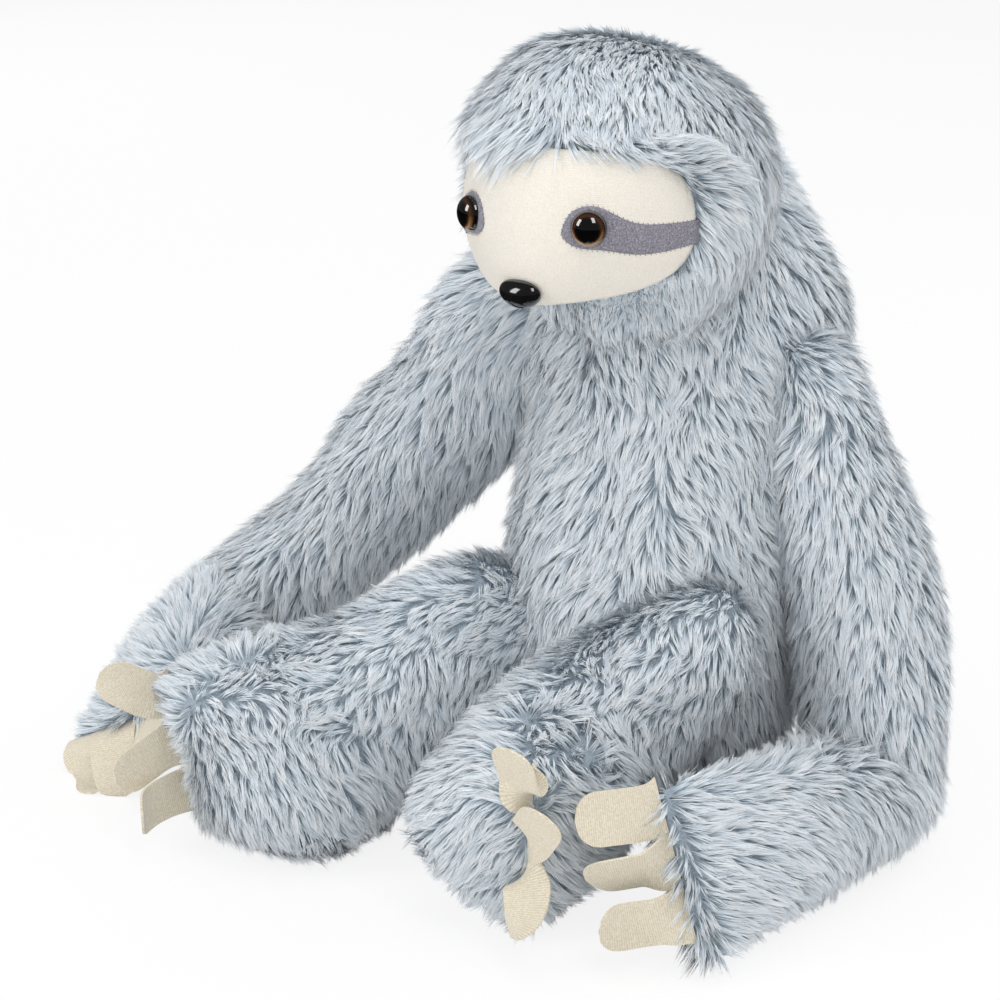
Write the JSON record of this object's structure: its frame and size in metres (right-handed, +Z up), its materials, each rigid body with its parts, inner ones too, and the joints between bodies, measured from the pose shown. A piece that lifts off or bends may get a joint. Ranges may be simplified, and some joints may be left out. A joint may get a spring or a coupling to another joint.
{
  "type": "plush sloth",
  "caption": "Sitting long-limbed plush sloth: stuffed fur cloth body, head, arms and legs, knit face with safety eyes and nose, and felt claws.",
  "frame": {"origin": "middle of the flat seat under the body", "axes": "+Z up, the sloth faces -Y, and its left side is +X"},
  "size_m": [0.4588, 0.3416, 0.424],
  "materials": {
    "fur_cloth": "long pile, pale blue grey tips over slate roots",
    "stuffing": "white polyester fibre",
    "knit": "ivory short pile knit",
    "velour": "lilac grey velour",
    "felt": "beige felt",
    "eye_plastic": "amber brown domed plastic with a black pupil",
    "nose_plastic": "glossy black plastic",
    "washer_plastic": "white plastic"
  },
  "bodies": {
    "torso": {"torso_cover": "fur_cloth", "torso_stuffing": "stuffing"},
    "head": {"head_cover": "fur_cloth", "face_panel": "knit", "head_stuffing": "stuffing", "eye_left": "eye_plastic", "eye_right": "eye_plastic", "eye_washer_left": "washer_plastic", "eye_washer_right": "washer_plastic", "eye_patch_left": "velour", "eye_patch_right": "velour", "nose": "nose_plastic", "nose_washer": "washer_plastic"},
    "left_upper_arm": {"left_upper_arm_cover": "fur_cloth", "left_upper_arm_stuffing": "stuffing"},
    "left_forearm": {"left_forearm_cover": "fur_cloth", "left_forearm_stuffing": "stuffing"},
    "left_leg": {"left_leg_cover": "fur_cloth", "left_leg_stuffing": "stuffing"},
    "left_hand_claws": {"left_hand_claws": "felt"},
    "left_foot_claws": {"left_foot_claws": "felt"},
    "right_upper_arm": {"right_upper_arm_cover": "fur_cloth", "right_upper_arm_stuffing": "stuffing"},
    "right_forearm": {"right_forearm_cover": "fur_cloth", "right_forearm_stuffing": "stuffing"},
    "right_leg": {"right_leg_cover": "fur_cloth", "right_leg_stuffing": "stuffing"},
    "right_hand_claws": {"right_hand_claws": "felt"},
    "right_foot_claws": {"right_foot_claws": "felt"}
  },
  "joints": [
    {"name": "neck_turn", "type": "hinge", "parent": "torso", "child": "head", "pos_m": [0, -0.042, 0.347], "axis": [0, 0, 1], "range_deg": [-35, 35]},
    {"name": "left_shoulder_lift", "type": "hinge", "parent": "torso", "child": "left_upper_arm", "pos_m": [0.077, 0.03, 0.246], "axis": [-0.9903, -0.1392, 0], "range_deg": [0, 95]},
    {"name": "right_shoulder_lift", "type": "hinge", "parent": "torso", "child": "right_upper_arm", "pos_m": [-0.077, 0.03, 0.246], "axis": [-0.9903, 0.1392, 0], "range_deg": [0, 95]},
    {"name": "left_elbow_turn", "type": "hinge", "parent": "left_upper_arm", "child": "left_forearm", "pos_m": [0.124, 0.031, 0.0355], "axis": [-0.2179, -0.0046, 0.976], "range_deg": [0, 50]},
    {"name": "right_elbow_turn", "type": "hinge", "parent": "right_upper_arm", "child": "right_forearm", "pos_m": [-0.263, -0.044, 0.058], "axis": [-0.6773, -0.2695, -0.6846], "range_deg": [0, 50]},
    {"name": "left_hip_lift", "type": "hinge", "parent": "torso", "child": "left_leg", "pos_m": [0.048, -0.052, 0.096], "axis": [-1, 0, 0], "range_deg": [0, 30]},
    {"name": "right_hip_lift", "type": "hinge", "parent": "torso", "child": "right_leg", "pos_m": [-0.048, -0.052, 0.096], "axis": [-1, 0, 0], "range_deg": [0, 30]},
    {"name": "left_hand_claws_bend", "type": "hinge", "parent": "left_forearm", "child": "left_hand_claws", "pos_m": [0.12572, -0.14549, 0.0556], "axis": [-0.3842, 0.0671, 0.9208], "range_deg": [-25, 50]},
    {"name": "right_hand_claws_bend", "type": "hinge", "parent": "right_forearm", "child": "right_hand_claws", "pos_m": [-0.23983, -0.16487, 0.03282], "axis": [0.882, 0.072, 0.4657], "range_deg": [-60, 10]},
    {"name": "left_foot_claws_bend", "type": "hinge", "parent": "left_leg", "child": "left_foot_claws", "pos_m": [0.06178, -0.17965, 0.05663], "axis": [0.1621, -0.1509, 0.9752], "range_deg": [-30, 50]},
    {"name": "right_foot_claws_bend", "type": "hinge", "parent": "right_leg", "child": "right_foot_claws", "pos_m": [-0.16468, -0.20443, 0.0567], "axis": [-0.1438, -0.1224, 0.982], "range_deg": [-50, 25]}
  ]
}
